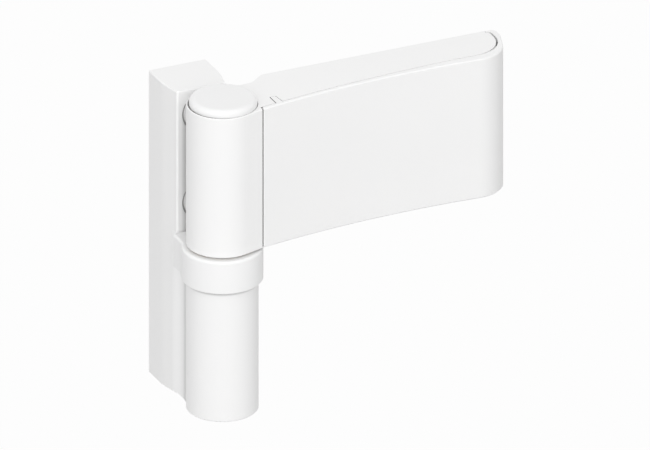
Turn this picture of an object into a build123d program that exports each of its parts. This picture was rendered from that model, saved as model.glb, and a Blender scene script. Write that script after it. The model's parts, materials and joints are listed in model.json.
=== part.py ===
from build123d import *
import math
import os

# Surface-mounted hinge for a plastic door, closed, with its pin upright.
# Shapes are drawn about the pin axis: X along the closed arm, Y back towards the frame, Z up
# from the bottom of the lower barrel. They are moved to the frame's mounting face when written.

# Overall layout
PIN_TO_FRAME = 31.6
PIN_TO_DOOR = 14.05
BARREL_RADIUS = 11.0
LOWER_BARREL_HEIGHT = 53.5
LEAF_HEIGHT = 46.7
LEAF_GAP = 0.7
LIFT_TRAVEL = 4.0
SIDE_TRAVEL = 2.0

# Clearances: turning pin, pieces fixed in a seat, pieces that slide, and the line between trims
RUNNING_GAP = 0.05
SEAT_GAP = 0.05
SLIDE_GAP = 0.25
TRIM_GAP = 0.1

# Frame block
BLOCK_HEIGHT = 101.2
BLOCK_OFFSET = -0.55
BLOCK_BACK_WIDTH = 19.1
BLOCK_NECK_WIDTH = 16.0
BLOCK_FRONT = 14.1
BLOCK_BEND_BACK = 23.5
BLOCK_BEND_START = 0.17
WEB_FILLET = 10.5
BLOCK_EDGE = 0.5
BLOCK_TOP_EDGE = 0.35
BARREL_EDGE = 0.25

# Screw holes and plugs of the block
BLOCK_HOLE_RADIUS = 3.3
BLOCK_RECESS_RADIUS = 6.4
BLOCK_RECESS_DEPTH = 6.0
BLOCK_HOLE_SPACING = 29.5
BLOCK_HOLE_DROP = 8.1
PLUG_SINK = 0.4
PLUG_THICKNESS = 2.6
PLUG_EDGE = 0.5

# Collar round the top of the lower barrel
COLLAR_HEIGHT = 10.85
COLLAR_WALL = 1.35
COLLAR_SIDE_WALL = 1.85
COLLAR_LID = 0.8
COLLAR_REACH = 13.9
COLLAR_CORNER = 8.0
COLLAR_TOP_EDGE = 0.8
COLLAR_EDGE = 0.35
COLLAR_TIP = 1.4

# Pin, ball and bushes
BARREL_WALL = 2.95
PIN_CHAMFER = 0.8
PIN_TOP_DROP = 12.4
BALL_RADIUS = 3.0
BALL_RISE = 2.45
BUSH_WALL = 1.95
FLANGE_WALL = 1.5
LOWER_FLANGE = 1.1
LOWER_BUSH_ROOM = 1.0
UPPER_FLANGE = 1.0
UPPER_BUSH_END = 2.0
WASHER_THICKNESS = 0.5
FLANGE_RECESS_GAP = 0.2

# Lock screw under the collar
LOCK_RADIUS = 3.0
LOCK_SINK = 0.4
LOCK_POINT_RADIUS = 1.9
LOCK_POINT_LENGTH = 1.7
LOCK_SOCKET = 3.0
LOCK_SOCKET_DEPTH = 2.0
PIN_GROOVE_DEPTH = 0.7
PIN_GROOVE_REST = 0.2

# Height screw, thrust disc and bottom cap
CAP_PLATE = 1.2
CAP_PLATE_WALL = 1.8
CAP_SKIRT = 2.4
CAP_SKIRT_WALL = 1.5
HEIGHT_SCREW_LENGTH = 9.0
HEIGHT_SCREW_ROOM = 1.4
HEIGHT_SOCKET = 8.0
HEIGHT_SOCKET_DEPTH = 5.0
THREAD_GAP = 0.1
THRUST_DISC_THICKNESS = 2.0
THRUST_DISC_GAP = 0.5

# Top cap of the upper barrel, set a little towards the arm
RIM_WALL = 0.4
RIM_DEPTH = 4.4
RIM_EDGE = 0.25
TOP_CAP_SHIFT = 0.3
TOP_CAP_GAP = 0.2
TOP_CAP_RISE = 2.3
TOP_CAP_EDGE = 1.7
TOP_CAP_SHELL = 1.6
TOP_CAP_STEM_RADIUS = 3.9
TOP_CAP_STEM = 3.0

# Arm: the cover's front is a long hollow arc, its end a round curl that turns into a short lip
FRONT_RADIUS = 306.0
FRONT_LOW_X = 66.2
FRONT_LOW_Y = -3.3
FRONT_END = 82.0
CURL_CORNER_X = 92.6
CURL_RADIUS = 10.5
COVER_END = 97.05
COVER_END_Y = 10.3
COVER_START = 9.95
COVER_LINE = 0.45
COVER_EDGE = 0.35
COVER_START_EDGE = 0.45
LIP_START = 93.6
LIP_THICKNESS = 1.3
LIP_CORNER = 2.0

# Inside of the cover, which lines the arm with more room at the arm's end
LINING_X = 84.9
LINING_CENTRE_Y = 9.3
LINING_CURL_RADIUS = 10.08
LINING_FRONT_RADIUS = 440.0
LINING_CORNER = 1.2
END_ROOM = 0.4

# Neck between the upper barrel and the arm
NECK_BACK_Y = 9.7
NECK_STEP_START = 14.4
NECK_STEP_END = 19.0
NECK_STEP_FRONT = 10.3
NECK_ROUND = 2.5

# Tapered rib of the cover in its groove beside the neck
RIB_X = 15.2
RIB_ROOT_WIDTH = 2.25
RIB_TIP_WIDTH = 1.65
RIB_TIP_Y = -1.7
RIB_GAP = 0.3
RIB_FAR_GAP = 0.15
RIB_TIP_GAP = 0.08
GROOVE_FLOOR = 2.0

# Fixing plate in the back of the arm
PLATE_X = 52.0
PLATE_LENGTH = 51.0
PLATE_HEIGHT = 38.0
PLATE_THICKNESS = 5.0
PLATE_CORNER = 3.0
DOOR_HOLE_RADIUS = 2.6
DOOR_HOLE_HEAD = 5.0
DOOR_HOLE_SPACING_X = 38.0
DOOR_HOLE_SPACING_Z = 28.0
ACCESS_RADIUS = 5.6

# Clamp screws
CLAMP_SPACING = 16.0
CLAMP_RADIUS = 3.0
CLAMP_HEAD_RADIUS = 4.9
CLAMP_HEAD = 4.0
CLAMP_SOCKET = 4.0
CLAMP_SOCKET_DEPTH = 2.4
CLAMP_WEB = 4.0
CLAMP_TIP_SINK = 0.5
CLAMP_SLOT_GAP = 0.3
CLAMP_WASHER_RADIUS = 5.3
CLAMP_WASHER = 1.2
CLAMP_REST = 0.1
CLAMP_RECESS_GAP = 0.4

# Side screw and the plate's threaded lug
SIDE_SCREW_Y = 5.8
SIDE_SCREW_RADIUS = 2.0
SIDE_SCREW_START = 65.0
SIDE_HEAD_START = 82.6
SIDE_HEAD = 3.6
SIDE_HEAD_RADIUS = 4.0
SIDE_SOCKET = 3.0
SIDE_SOCKET_DEPTH = 2.0
SIDE_RING = 1.2
SIDE_RING_REST = 0.2
SIDE_RING_HOLE = 2.6
LUG_START = 64.0
LUG_LENGTH = 10.0
LUG_HALF_HEIGHT = 5.5
LUG_FRONT_Y = 2.6

# Radii and depths round the pin that follow from the sizes above
SEAT_RADIUS = BARREL_RADIUS - BARREL_WALL
BUSH_RADIUS = SEAT_RADIUS - SEAT_GAP
BUSH_BORE = BUSH_RADIUS - BUSH_WALL
PIN_RADIUS = BUSH_BORE - RUNNING_GAP
BUSH_FLANGE_RADIUS = BARREL_RADIUS - FLANGE_WALL
CAP_PLATE_RADIUS = BARREL_RADIUS - CAP_PLATE_WALL
THRUST_DISC_RADIUS = BUSH_RADIUS - THRUST_DISC_GAP
GROOVE_RADIUS = PIN_RADIUS - PIN_GROOVE_DEPTH
LOCK_POINT_BACK = -GROOVE_RADIUS - PIN_GROOVE_REST
WEB_CORNER_X = BLOCK_OFFSET + BLOCK_NECK_WIDTH / 2 + WEB_FILLET
BLOCK_BEND_FRONT = math.sqrt((BARREL_RADIUS + WEB_FILLET) ** 2 - WEB_CORNER_X**2) + BLOCK_BEND_START

# Heights that follow from the sizes above
COLLAR_TOP = LOWER_BARREL_HEIGHT + COLLAR_LID
COLLAR_BOTTOM = COLLAR_TOP - COLLAR_HEIGHT
LOCK_Z = COLLAR_BOTTOM + COLLAR_HEIGHT / 2
LEAF_BOTTOM = COLLAR_TOP + LEAF_GAP
LEAF_TOP = LEAF_BOTTOM + LEAF_HEIGHT
LEAF_MIDDLE = LEAF_BOTTOM + LEAF_HEIGHT / 2
FLANGE_RECESS_RADIUS = BUSH_FLANGE_RADIUS + FLANGE_RECESS_GAP
WASHER_BOTTOM = LOWER_BARREL_HEIGHT + LOWER_FLANGE + RUNNING_GAP
UPPER_BUSH_BOTTOM = WASHER_BOTTOM + WASHER_THICKNESS + RUNNING_GAP
HEIGHT_SCREW_BOTTOM = CAP_PLATE + CAP_SKIRT + HEIGHT_SCREW_ROOM
THRUST_DISC_BOTTOM = HEIGHT_SCREW_BOTTOM + HEIGHT_SCREW_LENGTH
PIN_BOTTOM = THRUST_DISC_BOTTOM + THRUST_DISC_THICKNESS
LOWER_BUSH_BOTTOM = PIN_BOTTOM + LIFT_TRAVEL + LOWER_BUSH_ROOM
PIN_TOP = LEAF_TOP - PIN_TOP_DROP
BALL_TOP = PIN_TOP + BALL_RISE
UPPER_BUSH_INNER_TOP = BALL_TOP + RUNNING_GAP
UPPER_BUSH_TOP = UPPER_BUSH_INNER_TOP + UPPER_BUSH_END
RIM_FLOOR = LEAF_TOP - RIM_DEPTH
TOP_CAP_RADIUS = BARREL_RADIUS - RIM_WALL - TOP_CAP_GAP
BLOCK_HOLES_Z = [
    BLOCK_HEIGHT - BLOCK_HOLE_DROP - BLOCK_HOLE_SPACING,
    BLOCK_HEIGHT - BLOCK_HOLE_DROP,
]

# Depths and lengths of the arm that follow from the sizes above
NECK_END = COVER_START - COVER_LINE
LINING_Y = LINING_CENTRE_Y - LINING_CURL_RADIUS
PLATE_FRONT_Y = PIN_TO_DOOR - PLATE_THICKNESS
POCKET_FLOOR_Y = PLATE_FRONT_Y - SLIDE_GAP
CLAMP_SEAT_Y = POCKET_FLOOR_Y - CLAMP_WEB
PLATE_START = PLATE_X - PLATE_LENGTH / 2
PLATE_END = PLATE_X + PLATE_LENGTH / 2
SIDE_ROOM = SIDE_TRAVEL + SLIDE_GAP
SIDE_RING_START = SIDE_HEAD_START + SIDE_HEAD + SIDE_RING_REST
DOOR_HOLES = [
    (PLATE_X + sx * DOOR_HOLE_SPACING_X / 2, LEAF_MIDDLE + sz * DOOR_HOLE_SPACING_Z / 2)
    for sx in (-1, 1)
    for sz in (-1, 1)
]
CLAMPS_Z = [LEAF_MIDDLE - CLAMP_SPACING / 2, LEAF_MIDDLE + CLAMP_SPACING / 2]

# A size well past every face, for cutting tools
FAR = 300.0


def upright(radius, bottom, top):
    """A cylinder on the pin axis."""
    return Pos(0, 0, bottom) * Cylinder(radius, top - bottom, align=(Align.CENTER, Align.CENTER, Align.MIN))


def along_y(radius, x, z, front, back):
    """A cylinder that runs back from front to back."""
    rod = Cylinder(radius, back - front, align=(Align.CENTER, Align.CENTER, Align.MIN))
    return Pos(x, front, z) * Rot(-90, 0, 0) * rod


def along_x(radius, y, z, start, end):
    """A cylinder that runs along the arm."""
    rod = Cylinder(radius, end - start, align=(Align.CENTER, Align.CENTER, Align.MIN))
    return Pos(start, y, z) * Rot(0, 90, 0) * rod


def block(start, end):
    """A box between two opposite corners."""
    sizes = [high - low for low, high in zip(start, end)]
    return Pos(*start) * Box(*sizes, align=(Align.MIN, Align.MIN, Align.MIN))


def hexagon(across, depth):
    """A hexagonal socket across its flats, from the origin up."""
    return extrude(RegularPolygon(across / math.sqrt(3), 6), depth)


def prism(plan, bottom, top):
    """A plan raised between two heights."""
    return Pos(0, 0, bottom) * extrude(plan, top - bottom)


def on_front(x):
    """The cover's front face in plan, at a place along the arm."""
    return FRONT_LOW_Y - FRONT_RADIUS + math.sqrt(FRONT_RADIUS**2 - (x - FRONT_LOW_X) ** 2)


def on_lining(x, gap=0.0):
    """The cover's inner face in plan, or the arm's face at a gap behind it."""
    radius = LINING_FRONT_RADIUS + gap
    return LINING_Y - LINING_FRONT_RADIUS + math.sqrt(radius**2 - (LINING_X - x) ** 2)


def around(x, y, radius, degrees):
    """A point of a circle in plan, with 0 degrees along the arm."""
    turn = math.radians(degrees)
    return (x + radius * math.cos(turn), y + radius * math.sin(turn))


def quarter(x, y, radius):
    """The quarter circle from the front of a centre to its far end."""
    return ThreePointArc(*[around(x, y, radius, degrees) for degrees in (-90, -45, 0)])


def arc_along(face, start, end):
    """An arc that follows a face in plan from one place along the arm to another."""
    middle = (start + end) / 2
    return ThreePointArc((start, face(start)), (middle, face(middle)), (end, face(end)))


def block_plan(extra):
    """The block and its web in plan, as far as the pin axis, grown by extra on both sides."""
    back = BLOCK_BACK_WIDTH / 2 + extra
    neck = BLOCK_NECK_WIDTH / 2 + extra
    right = Spline((back, BLOCK_BEND_BACK), (neck, BLOCK_BEND_FRONT), tangents=((0, -1), (0, -1)))
    left = Spline((-neck, BLOCK_BEND_FRONT), (-back, BLOCK_BEND_BACK), tangents=((0, 1), (0, 1)))
    front = Polyline((neck, BLOCK_BEND_FRONT), (neck, 0), (-neck, 0), (-neck, BLOCK_BEND_FRONT))
    rear = Polyline(
        (-back, BLOCK_BEND_BACK), (-back, PIN_TO_FRAME), (back, PIN_TO_FRAME), (back, BLOCK_BEND_BACK)
    )
    return Pos(BLOCK_OFFSET, 0) * make_face(right + front + left + rear)


def web_corner(side, wall, side_wall, corner):
    """The round inner corner in plan between the barrel and one side of the web."""
    radius = BARREL_RADIUS + wall
    side_x = BLOCK_OFFSET + side * (BLOCK_NECK_WIDTH / 2 + side_wall)
    centre_x = side_x + side * corner
    centre_y = math.sqrt((radius + corner) ** 2 - centre_x**2)
    turn = math.degrees(math.atan2(-centre_y, -centre_x))
    square = 180 if side > 0 else 0
    half = (turn + square) / 2 if side < 0 else (turn % 360 + square) / 2
    ends = [around(centre_x, centre_y, corner, a) for a in (square, half, turn)]
    return make_face(ThreePointArc(*ends) + Polyline(ends[2], (0, 0), ends[0]))


def barrel_plan(wall, side_wall, corner):
    """The lower barrel with its web and block in plan, grown by two walls, with round inner corners."""
    plan = Circle(BARREL_RADIUS + wall) + block_plan(side_wall)
    for side in (-1, 1):
        plan += web_corner(side, wall, side_wall, corner)
    return plan


def ahead_of(y):
    """All of the plan in front of a line across it."""
    return Pos(0, y - FAR / 2) * Rectangle(FAR, FAR)


def frame_body():
    """The casting: screw block, web and lower barrel."""
    lower = prism(barrel_plan(0, 0, WEB_FILLET), 0, LOWER_BARREL_HEIGHT)
    upper = prism(block_plan(0) - ahead_of(BLOCK_FRONT), 0, BLOCK_HEIGHT)
    front_edges = upper.edges().filter_by(Axis.Z).group_by(Axis.Y)[0]
    upper = fillet(front_edges, BLOCK_EDGE)
    top_edges = upper.faces().sort_by(Axis.Z)[-1].edges().group_by(Axis.Y)[:-1]
    upper = chamfer([edge for group in top_edges for edge in group], BLOCK_TOP_EDGE)
    rim = [e for e in lower.edges() if e.center().Z < 0.01 and e.center().Y < BLOCK_BEND_FRONT]
    lower = chamfer(rim, BARREL_EDGE)
    body = lower + upper
    for z in BLOCK_HOLES_Z:
        body -= along_y(BLOCK_HOLE_RADIUS, BLOCK_OFFSET, z, 0, FAR)
        body -= along_y(BLOCK_RECESS_RADIUS, BLOCK_OFFSET, z, 0, BLOCK_FRONT + BLOCK_RECESS_DEPTH)
    body -= upright(SEAT_RADIUS, -1, LOWER_BARREL_HEIGHT + 1)
    body -= upright(CAP_PLATE_RADIUS + TRIM_GAP, -1, CAP_PLATE)
    body -= along_y(LOCK_RADIUS + SEAT_GAP, 0, LOCK_Z, -BARREL_RADIUS - 1, 0)
    return body


def block_plugs():
    """The two plugs over the block's screws."""
    front = BLOCK_FRONT + PLUG_SINK
    plugs = []
    for z in BLOCK_HOLES_Z:
        plug = along_y(BLOCK_RECESS_RADIUS - TRIM_GAP, BLOCK_OFFSET, z, front, front + PLUG_THICKNESS)
        plugs.append(chamfer(plug.faces().sort_by(Axis.Y)[0].edges(), PLUG_EDGE))
    return Compound(children=plugs)


def collar():
    """The ring round the top of the lower barrel, with a lid and two laps on the web's sides."""
    grown = barrel_plan(TRIM_GAP + COLLAR_WALL, TRIM_GAP + COLLAR_SIDE_WALL, COLLAR_CORNER)
    shell = prism(grown & ahead_of(COLLAR_REACH), COLLAR_BOTTOM, COLLAR_TOP)
    tips = shell.edges().filter_by(Axis.Z).group_by(Axis.Y)[-1]
    shell = fillet(tips, COLLAR_TIP)
    shell = fillet(shell.faces().sort_by(Axis.Z)[-1].edges(), COLLAR_TOP_EDGE)
    shell = chamfer(shell.faces().sort_by(Axis.Z)[0].edges(), COLLAR_EDGE)
    shell -= prism(barrel_plan(TRIM_GAP, TRIM_GAP, WEB_FILLET - TRIM_GAP), 0, LOWER_BARREL_HEIGHT)
    return shell - upright(FLANGE_RECESS_RADIUS, 0, FAR)


def lower_bush():
    """The flanged bush in the lower barrel, with a hole for the lock screw's point."""
    bush = upright(BUSH_RADIUS, LOWER_BUSH_BOTTOM, LOWER_BARREL_HEIGHT)
    bush += upright(BUSH_FLANGE_RADIUS, LOWER_BARREL_HEIGHT, LOWER_BARREL_HEIGHT + LOWER_FLANGE)
    bush -= upright(BUSH_BORE, 0, FAR)
    return bush - along_y(LOCK_RADIUS + SEAT_GAP, 0, LOCK_Z, -BARREL_RADIUS, 0)


def thrust_washer():
    """The washer between the flanges of the two bushes."""
    washer = upright(BUSH_FLANGE_RADIUS, WASHER_BOTTOM, WASHER_BOTTOM + WASHER_THICKNESS)
    return washer - upright(BUSH_BORE, 0, FAR)


def lock_screw():
    """The grub screw whose point stands in the pin's groove."""
    front = -BARREL_RADIUS + LOCK_SINK
    back = LOCK_POINT_BACK - LOCK_POINT_LENGTH
    screw = along_y(LOCK_RADIUS, 0, LOCK_Z, front, back)
    screw += along_y(LOCK_POINT_RADIUS, 0, LOCK_Z, back, LOCK_POINT_BACK)
    return screw - Pos(0, front, LOCK_Z) * Rot(-90, 0, 0) * hexagon(LOCK_SOCKET, LOCK_SOCKET_DEPTH)


def bottom_cap():
    """The plug in the bottom of the lower barrel."""
    skirt = BUSH_RADIUS
    cap = upright(CAP_PLATE_RADIUS, 0, CAP_PLATE) + upright(skirt, CAP_PLATE, CAP_PLATE + CAP_SKIRT)
    return cap - upright(skirt - CAP_SKIRT_WALL, CAP_PLATE, FAR)


def hinge_pin():
    """The pin, with a groove for the lock screw and a cup for the ball."""
    pin = upright(PIN_RADIUS, PIN_BOTTOM, PIN_TOP)
    pin = chamfer(pin.edges().filter_by(GeomType.CIRCLE), PIN_CHAMFER)
    low = LOCK_Z - LOCK_POINT_RADIUS - SLIDE_GAP - LIFT_TRAVEL
    high = LOCK_Z + LOCK_POINT_RADIUS + SLIDE_GAP
    pin -= upright(BARREL_RADIUS, low, high) - upright(GROOVE_RADIUS, low, high)
    return pin - Pos(0, 0, BALL_TOP - BALL_RADIUS) * Sphere(BALL_RADIUS + SEAT_GAP)


def bearing_ball():
    """The ball that carries the leaf."""
    return Pos(0, 0, BALL_TOP - BALL_RADIUS) * Sphere(BALL_RADIUS)


def thrust_disc():
    """The disc between the height screw and the pin."""
    return upright(THRUST_DISC_RADIUS, THRUST_DISC_BOTTOM, PIN_BOTTOM)


def height_screw():
    """The screw under the pin, with a socket from below."""
    screw = upright(SEAT_RADIUS - THREAD_GAP, HEIGHT_SCREW_BOTTOM, THRUST_DISC_BOTTOM)
    screw = chamfer(screw.edges().filter_by(GeomType.CIRCLE), BARREL_EDGE)
    return screw - Pos(0, 0, HEIGHT_SCREW_BOTTOM) * hexagon(HEIGHT_SOCKET, HEIGHT_SOCKET_DEPTH)


def neck_front():
    """Where the neck's front face leaves the barrel, for a face that meets the cover's line."""
    end = (NECK_END, on_front(NECK_END))
    turn = math.atan2(end[1], end[0]) - math.acos(BARREL_RADIUS / math.hypot(*end))
    return [(BARREL_RADIUS * math.cos(turn), BARREL_RADIUS * math.sin(turn)), end]


def leaf_plan():
    """The upper barrel, neck and arm in plan."""
    gap = SLIDE_GAP
    lip_y = PIN_TO_DOOR - LIP_THICKNESS - gap
    lip_x = LIP_START - gap
    curl_x = LINING_X - END_ROOM
    curl_radius = LINING_CURL_RADIUS - gap
    curl_y = on_lining(curl_x, gap) + curl_radius
    side = curl_x + curl_radius
    start, end = neck_front()
    edge = Line(start, end) + Line(end, (NECK_END, on_lining(NECK_END, gap)))
    face = arc_along(lambda x: on_lining(x, gap), NECK_END, curl_x)
    curl = quarter(curl_x, curl_y, curl_radius)
    corner = [(side, curl_y), (side, lip_y), (lip_x, lip_y)]
    back = FilletPolyline(*corner, radius=LINING_CORNER - gap)
    step = Polyline((lip_x, lip_y), (lip_x, PIN_TO_DOOR), (PLATE_START, PIN_TO_DOOR))
    neck = FilletPolyline(
        (PLATE_START, PIN_TO_DOOR),
        (NECK_STEP_END, PIN_TO_DOOR),
        (NECK_STEP_START, NECK_STEP_FRONT),
        (0, NECK_BACK_Y - (NECK_STEP_FRONT - NECK_BACK_Y) / 2),
        radius=NECK_ROUND,
    )
    close = Line((0, NECK_BACK_Y - (NECK_STEP_FRONT - NECK_BACK_Y) / 2), start)
    return make_face(edge + face + curl + back + step + neck + close) + Circle(BARREL_RADIUS)


def rib_plan(gap, far_gap, tip_gap):
    """The cover's tapered rib in plan, or with gaps the groove that takes it."""
    root = (on_front(RIB_X) + on_lining(RIB_X)) / 2
    outline = Polyline(
        (RIB_X - gap, root),
        (RIB_X - gap, RIB_TIP_Y + tip_gap),
        (RIB_X + RIB_TIP_WIDTH + far_gap, RIB_TIP_Y + tip_gap),
        (RIB_X + RIB_ROOT_WIDTH + far_gap, root),
        close=True,
    )
    return make_face(outline)


def side_bores():
    """The bores and the recess for the side screw and the lug that it moves."""
    y, z = SIDE_SCREW_Y, LEAF_MIDDLE
    bores = along_x(SIDE_SCREW_RADIUS + SLIDE_GAP, y, z, LUG_START, SIDE_HEAD_START)
    bores += along_x(SIDE_HEAD_RADIUS + SEAT_GAP, y, z, SIDE_HEAD_START - RUNNING_GAP, FAR)
    bores += block(
        (LUG_START - SIDE_ROOM, LUG_FRONT_Y - SLIDE_GAP, z - LUG_HALF_HEIGHT - SLIDE_GAP),
        (LUG_START + LUG_LENGTH + SIDE_ROOM, PIN_TO_DOOR, z + LUG_HALF_HEIGHT + SLIDE_GAP),
    )
    return bores


def slot_along_x(radius, half_travel, z, front, back):
    """A slot through the arm at the plate's middle, long enough for the side travel."""
    slot = block((PLATE_X - half_travel, front, z - radius), (PLATE_X + half_travel, back, z + radius))
    for x in (PLATE_X - half_travel, PLATE_X + half_travel):
        slot += along_y(radius, x, z, front, back)
    return slot


def leaf_body():
    """The casting: upper barrel, neck and arm, with the pocket for the fixing plate."""
    body = prism(leaf_plan(), LEAF_BOTTOM, LEAF_TOP)
    ends = body.faces().sort_by(Axis.Z)
    rims = [edge for face in (ends[0], ends[-1]) for edge in face.edges() if edge.center().X < NECK_END]
    body = chamfer(rims, RIM_EDGE)
    body -= Pos(TOP_CAP_SHIFT, 0) * upright(TOP_CAP_RADIUS + TOP_CAP_GAP, RIM_FLOOR, FAR)
    body -= upright(SEAT_RADIUS, 0, UPPER_BUSH_TOP + SEAT_GAP)
    body -= upright(FLANGE_RECESS_RADIUS, 0, UPPER_BUSH_BOTTOM + UPPER_FLANGE + SEAT_GAP)
    body -= Pos(TOP_CAP_SHIFT, 0) * upright(TOP_CAP_STEM_RADIUS + SEAT_GAP, UPPER_BUSH_TOP, FAR)
    body -= prism(rib_plan(RIB_GAP, RIB_FAR_GAP, RIB_TIP_GAP), LEAF_BOTTOM + GROOVE_FLOOR, FAR)
    half_height = PLATE_HEIGHT / 2 + SLIDE_GAP
    body -= block(
        (PLATE_START - SIDE_ROOM, POCKET_FLOOR_Y, LEAF_MIDDLE - half_height),
        (PLATE_END + SIDE_ROOM, FAR, LEAF_MIDDLE + half_height),
    )
    body -= side_bores()
    for x, z in DOOR_HOLES:
        body -= along_y(ACCESS_RADIUS, x, z, -BARREL_RADIUS, PIN_TO_DOOR)
    travel = SIDE_TRAVEL + CLAMP_SLOT_GAP
    for z in CLAMPS_Z:
        body -= slot_along_x(CLAMP_RADIUS + CLAMP_SLOT_GAP, travel, z, -BARREL_RADIUS, PIN_TO_DOOR)
        body -= slot_along_x(
            CLAMP_WASHER_RADIUS + CLAMP_RECESS_GAP, travel, z, -BARREL_RADIUS, CLAMP_SEAT_Y
        )
    return body


def cover():
    """The profile over the arm's front: hollow face, round curl, back lip and tapered rib."""
    lip_y = PIN_TO_DOOR - LIP_THICKNESS
    side = LINING_X + LINING_CURL_RADIUS
    front = arc_along(on_front, COVER_START, FRONT_END)
    slope = (FRONT_LOW_X - FRONT_END) / (on_front(FRONT_END) - FRONT_LOW_Y + FRONT_RADIUS)
    corner_y = on_front(FRONT_END) + slope * (CURL_CORNER_X - FRONT_END)
    end = (COVER_END, COVER_END_Y)
    curl = FilletPolyline(
        (FRONT_END, on_front(FRONT_END)), (CURL_CORNER_X, corner_y), end, radius=CURL_RADIUS
    )
    back = FilletPolyline(end, (COVER_END, PIN_TO_DOOR), (LIP_START, PIN_TO_DOOR), radius=LIP_CORNER)
    tip = Line((LIP_START, PIN_TO_DOOR), (LIP_START, lip_y))
    corner = [(LIP_START, lip_y), (side, lip_y), (side, LINING_CENTRE_Y)]
    under = FilletPolyline(*corner, radius=LINING_CORNER)
    inside = quarter(LINING_X, LINING_CENTRE_Y, LINING_CURL_RADIUS)
    lining = arc_along(on_lining, LINING_X, COVER_START)
    close = Line((COVER_START, on_lining(COVER_START)), (COVER_START, on_front(COVER_START)))
    plan = make_face(front + curl + back + tip + under + inside + lining + close)
    shell = prism(plan, LEAF_BOTTOM, LEAF_TOP)
    start_edge = shell.edges().filter_by(Axis.Z).sort_by(lambda edge: edge.center().X + edge.center().Y)[0]
    shell = fillet(start_edge, COVER_START_EDGE)
    shell = chamfer([edge for edge in shell.edges() if is_outer(edge)], COVER_EDGE)
    return shell + prism(rib_plan(0, 0, 0), LEAF_BOTTOM + GROOVE_FLOOR, LEAF_TOP)


def is_outer(edge):
    """Whether an edge of the cover runs along its outside, at the top or the bottom."""
    place = edge.position_at(0.5)
    at_end = min(abs(place.Z - LEAF_BOTTOM), abs(place.Z - LEAF_TOP)) < 0.01
    if place.X < LINING_X:
        return at_end and abs(place.Y - on_front(place.X)) < 0.05
    out = math.hypot(place.X - LINING_X, place.Y - LINING_CENTRE_Y)
    return at_end and out > LINING_CURL_RADIUS + COVER_EDGE


def upper_bush():
    """The closed, flanged bush in the upper barrel."""
    bush = upright(BUSH_RADIUS, UPPER_BUSH_BOTTOM, UPPER_BUSH_TOP)
    bush += upright(BUSH_FLANGE_RADIUS, UPPER_BUSH_BOTTOM, UPPER_BUSH_BOTTOM + UPPER_FLANGE)
    return bush - upright(BUSH_BORE, 0, UPPER_BUSH_INNER_TOP)


def top_cap():
    """The domed cap: a rounded shell with a stem."""
    cap = upright(TOP_CAP_RADIUS, RIM_FLOOR, LEAF_TOP + TOP_CAP_RISE)
    cap = fillet(cap.edges().filter_by(GeomType.CIRCLE).sort_by(Axis.Z)[-1], TOP_CAP_EDGE)
    ceiling = LEAF_TOP + TOP_CAP_RISE - TOP_CAP_SHELL
    cap -= upright(TOP_CAP_RADIUS - TOP_CAP_SHELL, 0, ceiling)
    cap += upright(TOP_CAP_STEM_RADIUS, RIM_FLOOR - TOP_CAP_STEM, ceiling)
    return Pos(TOP_CAP_SHIFT, 0) * cap


def fixing_plate():
    """The plate that screws to the door, with a lug for the side screw."""
    low = LEAF_MIDDLE - PLATE_HEIGHT / 2
    high = LEAF_MIDDLE + PLATE_HEIGHT / 2
    plate = block((PLATE_START, PLATE_FRONT_Y, low), (PLATE_END, PIN_TO_DOOR, high))
    plate = fillet(plate.edges().filter_by(Axis.Y), PLATE_CORNER)
    plate += block(
        (LUG_START, LUG_FRONT_Y, LEAF_MIDDLE - LUG_HALF_HEIGHT),
        (LUG_START + LUG_LENGTH, PLATE_FRONT_Y, LEAF_MIDDLE + LUG_HALF_HEIGHT),
    )
    plate -= along_x(SIDE_SCREW_RADIUS + SEAT_GAP, SIDE_SCREW_Y, LEAF_MIDDLE, 0, FAR)
    sink = DOOR_HOLE_HEAD - DOOR_HOLE_RADIUS
    cone = Cone(DOOR_HOLE_HEAD, DOOR_HOLE_RADIUS, sink, align=(Align.CENTER, Align.CENTER, Align.MIN))
    for x, z in DOOR_HOLES:
        plate -= along_y(DOOR_HOLE_RADIUS, x, z, 0, FAR)
        plate -= Pos(x, PLATE_FRONT_Y, z) * Rot(-90, 0, 0) * cone
    for z in CLAMPS_Z:
        plate -= along_y(CLAMP_RADIUS + SEAT_GAP, PLATE_X, z, 0, FAR)
    return plate


def clamp_screws():
    """The two cap screws that clamp the arm to the fixing plate."""
    seat = CLAMP_SEAT_Y - CLAMP_REST - CLAMP_WASHER
    screws = []
    for z in CLAMPS_Z:
        screw = along_y(CLAMP_HEAD_RADIUS, PLATE_X, z, seat - CLAMP_HEAD, seat)
        screw += along_y(CLAMP_RADIUS, PLATE_X, z, seat, PIN_TO_DOOR - CLAMP_TIP_SINK)
        socket = hexagon(CLAMP_SOCKET, CLAMP_SOCKET_DEPTH)
        screw -= Pos(PLATE_X, seat - CLAMP_HEAD, z) * Rot(-90, 0, 0) * socket
        screws.append(screw)
    return Compound(children=screws)


def clamp_washers():
    """The washers under the clamp screws."""
    back = CLAMP_SEAT_Y - CLAMP_REST
    washers = []
    for z in CLAMPS_Z:
        washer = along_y(CLAMP_WASHER_RADIUS, PLATE_X, z, back - CLAMP_WASHER, back)
        washers.append(washer - along_y(CLAMP_RADIUS + SEAT_GAP, PLATE_X, z, 0, FAR))
    return Compound(children=washers)


def side_screw():
    """The screw along the arm that moves the fixing plate sideways."""
    y, z = SIDE_SCREW_Y, LEAF_MIDDLE
    end = SIDE_HEAD_START + SIDE_HEAD
    screw = along_x(SIDE_SCREW_RADIUS, y, z, SIDE_SCREW_START, SIDE_HEAD_START)
    screw += along_x(SIDE_HEAD_RADIUS, y, z, SIDE_HEAD_START, end)
    return screw - Pos(end, y, z) * Rot(0, -90, 0) * hexagon(SIDE_SOCKET, SIDE_SOCKET_DEPTH)


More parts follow.
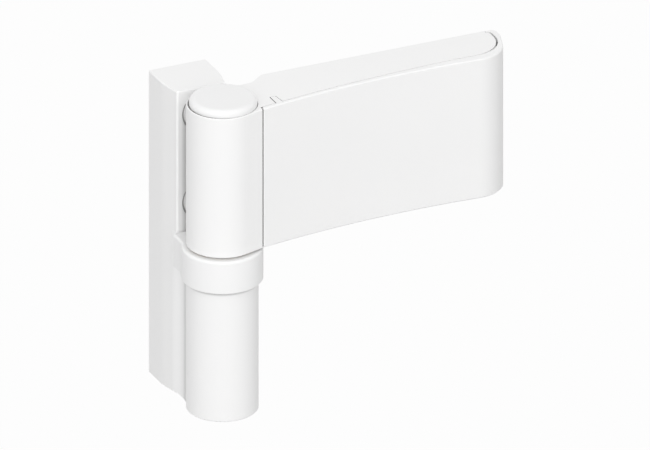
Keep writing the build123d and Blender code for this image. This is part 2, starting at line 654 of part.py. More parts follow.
def side_screw_ring():
    """The ring that keeps the side screw in its bore."""
    y, z = SIDE_SCREW_Y, LEAF_MIDDLE
    ring = along_x(SIDE_HEAD_RADIUS, y, z, SIDE_RING_START, SIDE_RING_START + SIDE_RING)
    return ring - along_x(SIDE_RING_HOLE, y, z, 0, FAR)


PIECES = [
    frame_body,
    block_plugs,
    collar,
    lower_bush,
    thrust_washer,
    lock_screw,
    bottom_cap,
    hinge_pin,
    bearing_ball,
    thrust_disc,
    height_screw,
    leaf_body,
    cover,
    upper_bush,
    top_cap,
    fixing_plate,
    clamp_screws,
    clamp_washers,
    side_screw,
    side_screw_ring,
]

os.makedirs("parts", exist_ok=True)
for piece in PIECES:
    export_step(Pos(0, -PIN_TO_FRAME, 0) * piece(), f"parts/{piece.__name__}.step")
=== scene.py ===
import json
import math

import bpy
from mathutils import Matrix, Vector


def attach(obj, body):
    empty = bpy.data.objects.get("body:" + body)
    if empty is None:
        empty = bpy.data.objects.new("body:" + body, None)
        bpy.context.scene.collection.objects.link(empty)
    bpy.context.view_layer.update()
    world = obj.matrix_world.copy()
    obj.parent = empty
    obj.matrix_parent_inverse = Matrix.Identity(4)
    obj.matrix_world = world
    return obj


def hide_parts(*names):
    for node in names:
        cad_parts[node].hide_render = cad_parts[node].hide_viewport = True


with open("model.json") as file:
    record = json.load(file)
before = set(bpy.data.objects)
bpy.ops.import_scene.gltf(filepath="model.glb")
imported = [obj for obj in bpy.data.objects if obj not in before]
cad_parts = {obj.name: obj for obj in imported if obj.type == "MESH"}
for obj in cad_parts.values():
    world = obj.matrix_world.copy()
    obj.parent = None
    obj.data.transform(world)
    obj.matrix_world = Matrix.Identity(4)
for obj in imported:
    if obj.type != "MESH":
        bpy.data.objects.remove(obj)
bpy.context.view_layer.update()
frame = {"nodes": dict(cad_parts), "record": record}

# The hinge's own frame, in millimetres: the block's back face is at Y 0, and the pin's axis stands
# 31.6 in front of it. Places beside the pin are given along the arm, back from the pin, and up.
MM = 0.001
PIN_Y = -31.6
LEAF_BOTTOM = 55
LEAF_TOP = 101.7
LEAF_MIDDLE = 78.35


# ---- Camera, at the photograph's angle, with no perspective ----

CAMERA_AZIMUTH = math.radians(-24.4)
CAMERA_ELEVATION = math.radians(25.53)
FRAME_WIDTH = 650
FRAME_HEIGHT = 450
PIXEL = MM / 3.30
CAP_PIXEL = (222.3, 103.8)


def direction(azimuth, elevation):
    """The way from the hinge towards a camera or a lamp, by its angles."""
    level = math.cos(elevation)
    return Vector((math.sin(azimuth) * level, -math.cos(azimuth) * level, math.sin(elevation)))


def place_camera():
    """The camera looks so that the middle of the upper barrel's top falls on its pixel of the frame."""
    right = Vector((math.cos(CAMERA_AZIMUTH), math.sin(CAMERA_AZIMUTH), 0))
    back = direction(CAMERA_AZIMUTH, CAMERA_ELEVATION)
    up = back.cross(right)
    aim = Vector((0, PIN_Y, LEAF_TOP)) * MM
    aim += right * (FRAME_WIDTH / 2 - CAP_PIXEL[0]) * PIXEL
    aim -= up * (FRAME_HEIGHT / 2 - CAP_PIXEL[1]) * PIXEL
    camera = bpy.data.objects.new("photo_camera", bpy.data.cameras.new("photo_camera"))
    bpy.context.scene.collection.objects.link(camera)
    camera.data.type = "ORTHO"
    camera.data.ortho_scale = FRAME_WIDTH * PIXEL
    camera.data.clip_end = 5
    axes = Matrix((right, up, back)).transposed().to_4x4()
    camera.matrix_world = Matrix.Translation(aim + back) @ axes
    bpy.context.scene.camera = camera


# ---- Selecting and shaping ----

FULL_TURN = 2 * math.pi
SAME_POINT = 0.001 * MM
SMOOTH_ANGLE = math.radians(32)


def only(piece):
    """Selects one piece alone and makes it the active one."""
    if bpy.context.object and bpy.context.object.mode != "OBJECT":
        bpy.ops.object.mode_set(mode="OBJECT")
    bpy.ops.object.select_all(action="DESELECT")
    piece.select_set(True)
    bpy.context.view_layer.objects.active = piece


def apply(piece, kind, **settings):
    """Adds one modifier with its settings and applies it."""
    only(piece)
    modifier = piece.modifiers.new(kind.lower(), kind)
    for name, setting in settings.items():
        setattr(modifier, name, setting)
    bpy.ops.object.modifier_apply(modifier=modifier.name)


def choose(piece, wanted):
    """Selects the faces of a piece that a test picks out, and leaves it in edit mode."""
    only(piece)
    bpy.ops.object.mode_set(mode="EDIT")
    bpy.ops.mesh.select_mode(type="FACE")
    bpy.ops.mesh.select_all(action="DESELECT")
    bpy.ops.object.mode_set(mode="OBJECT")
    for face in piece.data.polygons:
        face.select = wanted(face)
    bpy.ops.object.mode_set(mode="EDIT")


def start_outline(radius, height):
    """Starts a piece as one point beside the Z axis."""
    bpy.ops.object.select_all(action="DESELECT")
    bpy.ops.mesh.primitive_plane_add(size=0.1 * MM, location=(radius * MM, 0, height * MM))
    bpy.ops.object.transform_apply(location=True, rotation=True, scale=True)
    bpy.ops.object.mode_set(mode="EDIT")
    bpy.ops.mesh.select_mode(type="VERT")
    bpy.ops.mesh.select_all(action="SELECT")
    bpy.ops.mesh.merge(type="CENTER")
    return bpy.context.object


def draw_on(corners):
    """Draws the outline on from corner to corner."""
    for before, after in zip(corners, corners[1:]):
        step = ((after[0] - before[0]) * MM, 0, (after[1] - before[1]) * MM)
        bpy.ops.mesh.extrude_region_move(TRANSFORM_OT_translate={"value": step})
    bpy.ops.object.mode_set(mode="OBJECT")


def close_up(piece):
    """Merges the points that lie together and turns the faces outwards."""
    only(piece)
    bpy.ops.object.mode_set(mode="EDIT")
    bpy.ops.mesh.select_all(action="SELECT")
    bpy.ops.mesh.remove_doubles(threshold=SAME_POINT)
    bpy.ops.mesh.normals_make_consistent(inside=False)
    bpy.ops.object.mode_set(mode="OBJECT")


def turned(corners, sides=96):
    """An outline of radius and height, turned once round the Z axis."""
    piece = start_outline(*corners[0])
    on_axis = corners[0][0] == 0
    draw_on(corners if on_axis else corners + corners[:1])
    apply(piece, "SCREW", axis="Z", angle=FULL_TURN, screw_offset=0, steps=sides, render_steps=sides)
    close_up(piece)
    return piece


def cut_level(height, keep_above):
    """Cuts the piece in hand square to the Z axis and closes the cut."""
    bpy.ops.mesh.select_all(action="SELECT")
    bpy.ops.mesh.bisect(plane_co=(0, 0, height * MM), plane_no=(0, 0, 1), use_fill=True,
                        threshold=1e-7, clear_inner=keep_above, clear_outer=not keep_above)


THREAD_DEPTH = 0.6
CREST_START = 0.38
CREST_END = 0.5
FLANK_END = 0.88


def threaded_rod(radius, pitch, start, end, sides=48):
    """A rolled thread along the Z axis, cut square at both ends. Its profile is in shares of the pitch."""
    root = radius - THREAD_DEPTH * pitch
    low = start - pitch
    rod = start_outline(root, low)
    rises = [(root, 0), (radius, CREST_START), (radius, CREST_END), (root, FLANK_END), (root, 1)]
    draw_on([(out, low + rise * pitch) for out, rise in rises])
    count = math.ceil((end - start) / pitch) + 2
    apply(rod, "SCREW", axis="Z", angle=FULL_TURN, screw_offset=pitch * MM, iterations=count,
          steps=sides, render_steps=sides)
    close_up(rod)
    bpy.ops.object.mode_set(mode="EDIT")
    cut_level(start, True)
    cut_level(end, False)
    bpy.ops.mesh.select_all(action="SELECT")
    bpy.ops.mesh.normals_make_consistent(inside=False)
    bpy.ops.object.mode_set(mode="OBJECT")
    return rod


def combine(piece, other, operation):
    """Joins a second solid to a piece, takes it away from it, or keeps what both share."""
    apply(piece, "BOOLEAN", operation=operation, solver="EXACT", object=other)
    bpy.data.objects.remove(other)


def trim_ends(rod, radius, length, bevel):
    """Turns a small bevel on both ends of a threaded rod that starts at Z 0."""
    past = 0.1
    outline = [(0, 0), (radius - bevel, 0), (radius + past, bevel + past),
               (radius + past, length - bevel - past), (radius - bevel, length), (0, length)]
    combine(rod, turned(outline), "INTERSECT")


def cut_socket(piece, across, depth):
    """Broaches a hexagonal socket up into a piece from Z 0, with the drill's cone and a lead-in."""
    corner = across / math.sqrt(3)
    below = 1
    bpy.ops.object.select_all(action="DESELECT")
    bpy.ops.mesh.primitive_cylinder_add(vertices=6, radius=corner * MM, depth=(depth + below) * MM,
                                        location=(0, 0, (depth - below) / 2 * MM))
    broach = bpy.context.object
    bpy.ops.object.transform_apply(location=True, rotation=True, scale=True)
    choose(broach, lambda face: face.normal.z > 0.9)
    cone_rim = across * 0.06
    cone_height = across * 0.12
    bpy.ops.mesh.inset(thickness=cone_rim * MM)
    bpy.ops.mesh.extrude_region_move(TRANSFORM_OT_translate={"value": (0, 0, cone_height * MM)})
    bpy.ops.transform.resize(value=(0.05, 0.05, 1))
    bpy.ops.object.mode_set(mode="OBJECT")
    combine(piece, broach, "DIFFERENCE")
    lead = 0.3
    lead_in = [(0, -lead), (corner + 1.5 * lead, -lead), (corner - 0.5 * lead, lead), (0, lead)]
    combine(piece, turned(lead_in), "DIFFERENCE")


def knurled_head(radius, length, corner):
    """A cap screw's head from Z 0 up, with a rounded front corner and a straight knurl round its side."""
    sides = 96
    back_edge = 0.2
    knurl_depth = 0.22
    head = turned([(0, 0), (radius - corner, 0), (radius - corner * 0.3, corner * 0.3), (radius, corner),
                   (radius, length - back_edge), (radius - back_edge, length), (0, length)], sides)
    only(head)
    bpy.ops.object.mode_set(mode="EDIT")
    bpy.ops.mesh.select_mode(type="VERT")
    bpy.ops.mesh.select_all(action="DESELECT")
    bpy.ops.object.mode_set(mode="OBJECT")
    for point in head.data.vertices:
        spoke = round(math.atan2(point.co.y, point.co.x) / FULL_TURN * sides)
        on_side = point.co.xy.length > (radius - 0.05) * MM
        point.select = spoke % 2 == 0 and on_side
    bpy.ops.object.mode_set(mode="EDIT")
    inward = (radius - knurl_depth) / radius
    bpy.ops.transform.resize(value=(inward, inward, 1), center_override=(0, 0, 0))
    bpy.ops.object.mode_set(mode="OBJECT")
    return head


def flat_ring(hole, radius, thickness, front_edge):
    """A washer or a ring from Z 0 up, with all its edges rounded off."""
    edge = 0.15
    return turned([(hole, edge), (hole + edge, 0), (radius - front_edge, 0), (radius, front_edge),
                   (radius, thickness - edge), (radius - edge, thickness), (hole + edge, thickness),
                   (hole, thickness - edge)])


def set_in_place(piece, name, place, turn=(0, 0, 0)):
    """Closes a shaped piece, turns it, puts it beside the pin and keeps all that in its mesh."""
    close_up(piece)
    piece.name = name
    piece.data.name = name
    piece.rotation_euler = [math.radians(angle) for angle in turn]
    piece.location = (place[0] * MM, (PIN_Y + place[1]) * MM, place[2] * MM)
    bpy.ops.object.transform_apply(location=True, rotation=True, scale=True)
    bpy.ops.object.shade_smooth_by_angle(angle=SMOOTH_ANGLE)


def copy_of(piece):
    """A copy with its own mesh."""
    twin = piece.copy()
    twin.data = piece.data.copy()
    bpy.context.scene.collection.objects.link(twin)
    return twin


# ---- Nodes ----

class Value:
    """A number that changes over a surface, for plain sums. A comparison gives 1 or 0."""

    def __init__(self, finish, socket):
        self.finish = finish
        self.socket = socket

    def worked(self, operation, first, second):
        return self.finish.node("ShaderNodeMath", {"operation": operation}, {0: first, 1: second})

    def __add__(self, other):
        return self.worked("ADD", self, other)

    def __radd__(self, other):
        return self.worked("ADD", other, self)

    def __sub__(self, other):
        return self.worked("SUBTRACT", self, other)

    def __rsub__(self, other):
        return self.worked("SUBTRACT", other, self)

    def __mul__(self, other):
        return self.worked("MULTIPLY", self, other)

    def __rmul__(self, other):
        return self.worked("MULTIPLY", other, self)

    def __lt__(self, other):
        return self.worked("LESS_THAN", self, other)

    def __gt__(self, other):
        return self.worked("GREATER_THAN", self, other)

    def at_most(self, limit):
        return self.worked("MINIMUM", self, limit)

    def at_least(self, limit):
        return self.worked("MAXIMUM", self, limit)

    def between(self, low, high):
        return (self > low) * (self < high)


class Nodes:
    """The nodes of a material or of the surroundings."""

    def __init__(self, owner):
        owner.use_nodes = True
        self.tree = owner.node_tree

    def node(self, kind, settings, values, output=0):
        """Adds a node: its settings first, then what goes into its sockets."""
        new = self.tree.nodes.new(kind)
        for name, setting in settings.items():
            setattr(new, name, setting)
        for key, value in values.items():
            self.feed(new.inputs[key], value)
        return Value(self, new.outputs[output])

    def feed(self, socket, value):
        """Links a value to a socket, or sets the socket to a plain number or colour."""
        if isinstance(value, Value):
            self.tree.links.new(value.socket, socket)
        else:
            socket.default_value = value

    def blend(self, amount, first, second):
        """A colour between two others."""
        values = {0: amount, 6: first, 7: second}
        return self.node("ShaderNodeMix", {"data_type": "RGBA"}, values, 2)

    def seen_directly(self):
        """1 for what the camera, a mirror or glass sees, 0 for light that falls on the hinge."""
        seen = self.node("ShaderNodeLightPath", {}, {}, "Is Camera Ray")
        for ray in ("Is Glossy Ray", "Is Transmission Ray"):
            seen = seen.at_least(self.node("ShaderNodeLightPath", {}, {}, ray))
        return seen


class Finish(Nodes):
    """One material of the hinge, made of nodes on the shader that every part starts with."""

    def __init__(self, name, **fixed):
        self.material = bpy.data.materials.new(name)
        super().__init__(self.material)
        self.shader = self.tree.nodes["Principled BSDF"]
        for socket, value in fixed.items():
            self.shader.inputs[socket.replace("_", " ")].default_value = value
        self.place = self.node("ShaderNodeTexCoord", {}, {}, "Object")

    def noise(self, size, detail, roughness=0.5, stretch=(1, 1, 1)):
        """Soft noise whose features are about this many millimetres across."""
        place = self.place
        if stretch != (1, 1, 1):
            place = self.node("ShaderNodeMapping", {}, {"Vector": place, "Scale": stretch})
        values = {"Vector": place, "Scale": 1 / (size * MM), "Detail": detail, "Roughness": roughness}
        return self.node("ShaderNodeTexNoise", {}, values)

    def beside_pin(self):
        """The place in millimetres from the pin: along the arm, back and up."""
        along, back, up = [self.node("ShaderNodeSeparateXYZ", {}, {0: self.place}, axis)
                           for axis in (0, 1, 2)]
        return along * (1 / MM), back * (1 / MM) - PIN_Y, up * (1 / MM)

    def bump(self, height, depth):
        """Raises the surface by a height between 0 and 1, at this many millimetres."""
        return self.node("ShaderNodeBump", {}, {"Height": height, "Distance": depth * MM})

    def finish(self, colour, roughness, normal=None):
        """Feeds the shader and gives the finished material."""
        self.feed(self.shader.inputs["Base Color"], colour)
        self.feed(self.shader.inputs["Roughness"], roughness)
        if normal:
            self.feed(self.shader.inputs["Normal"], normal)
        return self.material


def grey(level, warm=0.0):
    """An even grey, a little warmer where asked."""
    return (level + warm, level, level - warm, 1)


# ---- Where shade is painted into the narrow gaps, and where highlights are painted on edges that catch the light ----
# Places are in millimetres, along the arm and back from the pin, and up from the lower barrel's bottom.

UNDER_TOP = LEAF_TOP - 0.05
NEAR_TOP_START = 94
CAP_RIM_RADIUS = 10.63
CAP_RIM_FLOOR = 97.2
NECK_LINE_ALONG = (9.48, 10.5)
NECK_LINE_BACK = (-8.4, -6.5)
GROOVE_ALONG = (14.86, 17.8)
GROOVE_BACK = (-7, -1.55)
GROOVE_TOP = 101.68
COVER_END = 9.97
COVER_END_BACK = -8.1
RIB_ALONG = (15.15, 17.5)
RIB_BACK = -6.3
CAP_SIDE = (97, 101.6)
BLOCK_MIDDLE = -0.55
BLOCK_FACE = (14, 14.25)
BLOCK_EDGE = (14.05, 14.65)
BLOCK_BEND = (10.2, 17)
OVER_COLLAR = 54
WEB_CORNER = (5.8, 9.8)
WEB_UP = (0.1, 43.5)
UNDER_COLLAR = (42.15, 43.47)
BARREL_BACK = 13
GAP_TOP = 97
PLUG_Z = 63.6
PLUG_SPACING = 29.5
PLUG_RIM_SQUARED = 33
GAP_SIDE_SQUARED = 53.3
WEB_SIDE_SQUARED = 60
EDGE_SIDE_SQUARED = 56


def near_top(up):
    """Grows from nothing well down the arm to all of it at the arm's top."""
    return (up - NEAR_TOP_START) * 0.14 * (up > NEAR_TOP_START)


def hump(value, low, high, steepness):
    """Rises and falls again evenly between two places."""
    return (value - low) * (high - value) * steepness * value.between(low, high)


def leaf_gap_shade(along, back, up):
    """Painted shade on the arm's walls inside the cap's rim, at the cover's end and in the rib's groove."""
    rim = (along * along + back * back < CAP_RIM_RADIUS ** 2) * (up > CAP_RIM_FLOOR)
    neck_line = along.between(*NECK_LINE_ALONG) * back.between(*NECK_LINE_BACK)
    groove = along.between(*GROOVE_ALONG) * back.between(*GROOVE_BACK) * (up < GROOVE_TOP)
    return rim + neck_line * up.between(LEAF_BOTTOM + 0.05, UNDER_TOP) + groove * near_top(up)


def cover_gap_shade(along, back, up):
    """Painted shade on the cover's end beside the neck and on the walls of its rib."""
    end = (along < COVER_END) * (back > COVER_END_BACK)
    rib = along.between(*RIB_ALONG) * (back > RIB_BACK)
    return (end + rib * near_top(up)) * (up < UNDER_TOP)


def behind_barrel(along, up):
    """Painted shade in the gap between the block and the upper barrel, from nothing at its sides and its
    top.
    """
    inside = GAP_SIDE_SQUARED - along * along
    shade = (inside * 0.028).at_most(0.5) * ((GAP_TOP - up) * 0.25).at_most(1)
    return shade * (inside > 0) * (up < GAP_TOP)


def plug_gap_shade(along, back, up):
    """A painted shade rim round both plugs, and the painted shade of the gap that they stand in."""
    across = along - BLOCK_MIDDLE
    above = up - PLUG_Z - PLUG_SPACING * (up > PLUG_Z + PLUG_SPACING / 2)
    rim = across * across + above * above > PLUG_RIM_SQUARED
    return rim * 0.65 + behind_barrel(along, up) * 0.4


def frame_gap_shade(along, back, up):
    """A painted shadow on the barrel under the collar, and painted shade in the corners behind it and in
    the gap behind the upper barrel.
    """
    under = (up - UNDER_COLLAR[0]) * 0.6 * up.between(*UNDER_COLLAR) * (back < BARREL_BACK)
    corner = hump(back, *WEB_CORNER, 0.085) * (along * along > WEB_SIDE_SQUARED) * up.between(*WEB_UP)
    face = back.between(*BLOCK_FACE) * (up > OVER_COLLAR)
    return under + corner + face * behind_barrel(along, up)


def frame_painted_highlights(along, back, up):
    """Painted highlights on the block's front edges beside the upper barrel and on the bends beside the
    lower one.
    """
    across = along - BLOCK_MIDDLE
    edge = back.between(*BLOCK_EDGE) * (up > OVER_COLLAR)
    bend = hump(back, *BLOCK_BEND, 0.08) * (up < OVER_COLLAR)
    return (edge + bend) * (across * across > EDGE_SIDE_SQUARED)


def cap_gap_shade(along, back, up):
    """Painted shade on the cap's side below the rim."""
    return up.between(*CAP_SIDE)


# ---- Finishes ----

# Painted shade: the dark grey blended into narrow gaps and corners where shade falls.
PAINTED_SHADE_GREY = grey(0.13, 0.004)
# Painted highlight: the light grey blended onto edges and bends that catch the light.
PAINTED_HIGHLIGHT_GREY = grey(0.97)
SHEEN = 0.3


def satin_paint(name, level, gap_shade, lights=None):
    """Powder paint: even white with the faint orange peel of a baked coat, painted shade in its narrow gaps
    and painted highlights where given.
    """
    coat = Finish(name, Specular_IOR_Level=SHEEN)
    place = coat.beside_pin()
    drift = coat.noise(30, 3)
    peel = coat.noise(1.4, 1)
    grain = coat.noise(0.35, 2)
    before_painted_shade = coat.blend(drift, grey(level - 0.012), grey(level + 0.012, 0.002))
    # Painted highlights blended onto edges and bends.
    if lights:
        before_painted_shade = coat.blend(lights(*place), before_painted_shade, PAINTED_HIGHLIGHT_GREY)
    # Painted shade blended into the narrow gaps.
    colour = coat.blend(gap_shade(*place) * (0.7 + 0.2 * grain), before_painted_shade, PAINTED_SHADE_GREY)
    roughness = 0.42 + 0.08 * drift + 0.03 * grain
    return coat.finish(colour, roughness, coat.bump(peel * 0.8 + grain * 0.2, 0.008))


def moulded_plastic(name, level, roughness, warm=0.0, gap_shade=None):
    """Moulded plastic: very fine matt grain, slow changes of tone and painted shade in its gaps where
    given.
    """
    moulding = Finish(name, Specular_IOR_Level=SHEEN)
    drift = moulding.noise(18, 2)
    grain = moulding.noise(0.22, 2)
    colour = moulding.blend(drift, grey(level - 0.012, warm), grey(level + 0.012, warm))
    if gap_shade:
        # Painted shade blended into the gaps.
        painted_shade_amount = gap_shade(*moulding.beside_pin()) * (0.7 + 0.2 * grain)
        colour = moulding.blend(painted_shade_amount, colour, PAINTED_SHADE_GREY)
    return moulding.finish(colour, roughness + 0.06 * drift + 0.05 * grain, moulding.bump(grain, 0.006))


def zinc_plate(name, level, along=(1, 1, 0.12)):
    """Bright zinc on steel: fine drawn lines, cloudy patches and a slightly blue tone."""
    plating = Finish(name, Metallic=1.0)
    cloud = plating.noise(3.5, 4, 0.6)
    lines = plating.noise(0.3, 3, 0.7, along)
    dark = (level - 0.12, level - 0.115, level - 0.1, 1)
    bright = (level + 0.02, level + 0.022, level + 0.03, 1)
    colour = plating.blend(cloud * 0.6 + lines * 0.4, dark, bright)
    roughness = 0.26 + 0.16 * cloud + 0.12 * lines
    return plating.finish(colour, roughness, plating.bump(lines, 0.008))


def ground_steel(name, level):
    """Ground steel: fine rings round the pin and little else."""
    steel = Finish(name, Metallic=1.0)
    rings = steel.noise(0.9, 4, 0.7, (0.1, 0.1, 6))
    colour = steel.blend(rings, grey(level - 0.04), grey(level + 0.02))
    return steel.finish(colour, 0.2 + 0.12 * rings, steel.bump(rings, 0.003))


def rolled_brass(name):
    """Rolled brass: warm, with fine lines and a few darker patches."""
    brass = Finish(name, Metallic=1.0)
    cloud = brass.noise(2.5, 3, 0.6)
    lines = brass.noise(0.35, 2, 0.6, (1, 0.1, 1))
    colour = brass.blend(cloud, (0.7, 0.52, 0.25, 1), (0.8, 0.64, 0.36, 1))
    return brass.finish(colour, 0.28 + 0.14 * cloud + 0.08 * lines, brass.bump(lines, 0.004))


FINISHES = {
    "frame_paint": satin_paint("frame_paint_white", 0.88, frame_gap_shade, frame_painted_highlights),
    "leaf_paint": satin_paint("leaf_paint_white", 0.88, leaf_gap_shade),
    "cover_paint": satin_paint("cover_paint_white", 0.88, cover_gap_shade),
    "collar_plastic": moulded_plastic("collar_plastic_white", 0.88, 0.42),
    "cap_plastic": moulded_plastic("cap_plastic_white", 0.865, 0.58, gap_shade=cap_gap_shade),
    "plug_plastic": moulded_plastic("plug_plastic_white", 0.86, 0.4, gap_shade=plug_gap_shade),
    "bush_plastic": moulded_plastic("bush_plastic_natural", 0.8, 0.42, 0.01),
    "washer_brass": rolled_brass("washer_brass_rolled"),
    "pin_steel": ground_steel("pin_steel_ground", 0.62),
    "plate_steel": zinc_plate("plate_steel_zinc", 0.7),
    "screw_steel": zinc_plate("screw_steel_zinc", 0.66, (1, 1, 1)),
}


def coat(piece, slot):
    """Gives a piece the finish of one of the record's slots."""
    piece.data.materials.clear()
    piece.data.materials.append(FINISHES[slot])


def fit(piece, slot, body, *nodes):
    """Finishes a piece, fixes it to its body and puts it in the place of its solids."""
    coat(piece, slot)
    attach(piece, body)
    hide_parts(*nodes)


# ---- Screws, washers and rings, which the cover, the collar and the bottom cap hide ----

HEIGHT_SCREW_RADIUS = 7.95
HEIGHT_SCREW_PITCH = 1.5
HEIGHT_SCREW_LENGTH = 9
HEIGHT_SCREW_Z = 5
HEIGHT_SCREW_BEVEL = 0.5
HEIGHT_SCREW_KEY = 8
HEIGHT_SCREW_SOCKET = 5

LOCK_SCREW_RADIUS = 3
LOCK_SCREW_PITCH = 1
LOCK_SCREW_LENGTH = 3.4
LOCK_SCREW_BEVEL = 0.3
LOCK_SCREW_BACK = -10.6
LOCK_SCREW_Z = 48.875
LOCK_SCREW_KEY = 3
LOCK_SCREW_SOCKET = 2
LOCK_POINT_RADIUS = 1.9
LOCK_POINT_END = 5.1

CLAMP_HEAD_RADIUS = 4.9
CLAMP_HEAD = 4
CLAMP_RADIUS = 2.98
CLAMP_PITCH = 1
CLAMP_TIP = 14.05
CLAMP_KEY = 4
CLAMP_SOCKET = 2.4
CLAMP_ALONG = 52
CLAMP_BACK = -0.5
CLAMP_SPACING = 16
WASHER_HOLE = 3.05
WASHER_RADIUS = 5.3
WASHER_THICKNESS = 1.2

SIDE_HEAD_RADIUS = 4
SIDE_HEAD = 3.6
SIDE_RADIUS = 2
SIDE_PITCH = 0.7
SIDE_TIP = 21.2
SIDE_KEY = 3
SIDE_SOCKET = 2
SIDE_END = 86.2
SIDE_BACK = 5.8
RING_HOLE = 2.6
RING_RADIUS = 4
RING_THICKNESS = 1.2
RING_GAP = 0.2


def make_height_screw():
    """The wide grub screw under the pin, with a socket for an 8 mm key from below."""
    screw = threaded_rod(HEIGHT_SCREW_RADIUS, HEIGHT_SCREW_PITCH, 0, HEIGHT_SCREW_LENGTH, sides=72)
    trim_ends(screw, HEIGHT_SCREW_RADIUS, HEIGHT_SCREW_LENGTH, HEIGHT_SCREW_BEVEL)
    cut_socket(screw, HEIGHT_SCREW_KEY, HEIGHT_SCREW_SOCKET)
    set_in_place(screw, "height_screw_threaded", (0, 0, HEIGHT_SCREW_Z))
    fit(screw, "screw_steel", "jack", "height_screw")


def make_lock_screw():
    """The grub screw behind the collar, with a plain point for the pin's groove."""
    screw = threaded_rod(LOCK_SCREW_RADIUS, LOCK_SCREW_PITCH, 0, LOCK_SCREW_LENGTH)
    trim_ends(screw, LOCK_SCREW_RADIUS, LOCK_SCREW_LENGTH, LOCK_SCREW_BEVEL)
    rooted, rounded = 3, 0.2
    point = turned([(0, rooted), (LOCK_POINT_RADIUS, rooted), (LOCK_POINT_RADIUS, LOCK_POINT_END - rounded),
                    (LOCK_POINT_RADIUS - rounded, LOCK_POINT_END), (0, LOCK_POINT_END)], sides=48)
    combine(screw, point, "UNION")
    cut_socket(screw, LOCK_SCREW_KEY, LOCK_SCREW_SOCKET)
    set_in_place(screw, "lock_screw_threaded", (0, LOCK_SCREW_BACK, LOCK_SCREW_Z), (-90, 0, 0))
    fit(screw, "screw_steel", "frame", "lock_screw")


def make_clamp_screws():
    """Two cap screws with knurled heads and round-edged washers, which clamp the arm to its plate."""
    screw = knurled_head(CLAMP_HEAD_RADIUS, CLAMP_HEAD, corner=0.5)
    combine(screw, threaded_rod(CLAMP_RADIUS, CLAMP_PITCH, CLAMP_HEAD - 0.5, CLAMP_TIP), "UNION")
    cut_socket(screw, CLAMP_KEY, CLAMP_SOCKET)
    washer = flat_ring(WASHER_HOLE, WASHER_RADIUS, WASHER_THICKNESS, front_edge=0.2)
    washer_back = CLAMP_BACK + CLAMP_HEAD
    for place, side in (("lower", -1), ("upper", 1)):
        z = LEAF_MIDDLE + side * CLAMP_SPACING / 2
        one = copy_of(screw)
        set_in_place(one, "clamp_screw_" + place, (CLAMP_ALONG, CLAMP_BACK, z), (-90, 0, 0))
        fit(one, "screw_steel", "plate", "clamp_screws")
        ring = copy_of(washer)
        set_in_place(ring, "clamp_washer_" + place, (CLAMP_ALONG, washer_back, z), (-90, 0, 0))
        fit(ring, "screw_steel", "plate", "clamp_washers")
    for pattern in (screw, washer):
        bpy.data.objects.remove(pattern)


def make_side_screw():
    """The screw along the arm that moves the plate, and the ring that keeps it in."""
    front_edge, back_edge = 0.3, 0.2
    screw = turned([(0, 0), (SIDE_HEAD_RADIUS - front_edge, 0), (SIDE_HEAD_RADIUS, front_edge),
                    (SIDE_HEAD_RADIUS, SIDE_HEAD - back_edge), (SIDE_HEAD_RADIUS - back_edge, SIDE_HEAD),
                    (0, SIDE_HEAD)])
    combine(screw, threaded_rod(SIDE_RADIUS, SIDE_PITCH, SIDE_HEAD - 0.4, SIDE_TIP), "UNION")
    cut_socket(screw, SIDE_KEY, SIDE_SOCKET)
    set_in_place(screw, "side_screw_threaded", (SIDE_END, SIDE_BACK, LEAF_MIDDLE), (0, -90, 0))
    fit(screw, "screw_steel", "side_drive", "side_screw")
    ring = flat_ring(RING_HOLE, RING_RADIUS, RING_THICKNESS, front_edge=0.15)
    ring_end = SIDE_END + RING_GAP
    set_in_place(ring, "side_screw_keeper", (ring_end, SIDE_BACK, LEAF_MIDDLE), (0, 90, 0))
    fit(ring, "screw_steel", "arm", "side_screw_ring")


# ---- Solids that keep the shape they come with ----

MODELLED = ("height_screw", "lock_screw", "clamp_screws", "clamp_washers", "side_screw", "side_screw_ring")


def finish_solids():
    """The castings, the cover, the mouldings, the pin and the plate get the finish of their slot."""
    for part in frame["record"]["subparts"]:
        if part["node"] not in MODELLED:
            coat(frame["nodes"][part["node"]], part["material_slot"])


# ---- Floor, surroundings and lamps ----

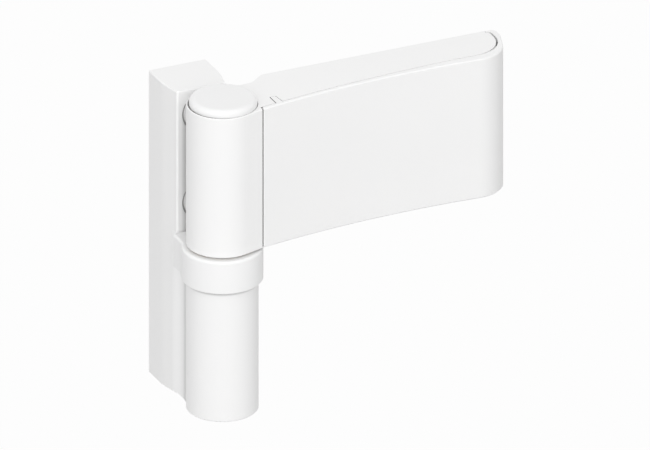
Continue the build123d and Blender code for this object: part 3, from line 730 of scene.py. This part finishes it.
WHITE = (1, 1, 1, 1)
FLOOR_Z = -260 * MM
FLOOR_WIDTH = 8
FLOOR_GREY = grey(0.4)
FLOOR_GLOW = 0.97
SKY = 0.75
LIT_PLACE = Vector((30, -20, 60)) * MM

# Each lamp's azimuth and elevation in degrees, its width in metres and its power in watts
LAMPS = {
    "front": (-24, 20, 1.4, 7.4),
    "left": (-125, 15, 0.6, 0.75),
    "top": (-20, 85, 0.6, 0.2),
    "back": (156, 3, 1.4, 2.6),
}


def lay_floor():
    """A pale floor well below the hinge, white to the eye and with a faint shadow."""
    bpy.ops.object.select_all(action="DESELECT")
    bpy.ops.mesh.primitive_plane_add(size=FLOOR_WIDTH, location=(0, 0, FLOOR_Z))
    floor = bpy.context.object
    floor.name = "pale_floor"
    bpy.ops.object.transform_apply(location=True, rotation=True, scale=True)
    paper = Finish("pale_floor")
    paper.finish(FLOOR_GREY, 0.9)
    glow = paper.node("ShaderNodeEmission", {}, {"Color": WHITE})
    share = paper.seen_directly() * FLOOR_GLOW
    matt = Value(paper, paper.shader.outputs[0])
    mix = paper.node("ShaderNodeMixShader", {}, {0: share, 1: matt, 2: glow})
    paper.feed(paper.tree.nodes["Material Output"].inputs["Surface"], mix)
    floor.data.materials.append(paper.material)


def surround():
    """Even surroundings: one level of light for the hinge, and white behind it."""
    world = bpy.data.worlds.new("studio")
    bpy.context.scene.world = world
    air = Nodes(world)
    seen = air.blend(air.seen_directly(), grey(SKY), WHITE)
    air.feed(air.tree.nodes["Background"].inputs["Color"], seen)


def hang_lamps():
    """Soft square lamps a metre away from the hinge, turned towards it."""
    for name, (azimuth, elevation, width, power) in LAMPS.items():
        away = direction(math.radians(azimuth), math.radians(elevation))
        lamp = bpy.data.objects.new("lamp_" + name, bpy.data.lights.new("lamp_" + name, "AREA"))
        bpy.context.scene.collection.objects.link(lamp)
        lamp.data.size = width
        lamp.data.energy = power
        lamp.location = LIT_PLACE + away
        lamp.rotation_euler = (-away).to_track_quat("-Z", "Y").to_euler()


place_camera()
make_height_screw()
make_lock_screw()
make_clamp_screws()
make_side_screw()
finish_solids()
lay_floor()
surround()
hang_lamps()
bpy.context.scene.view_settings.view_transform = "Standard"
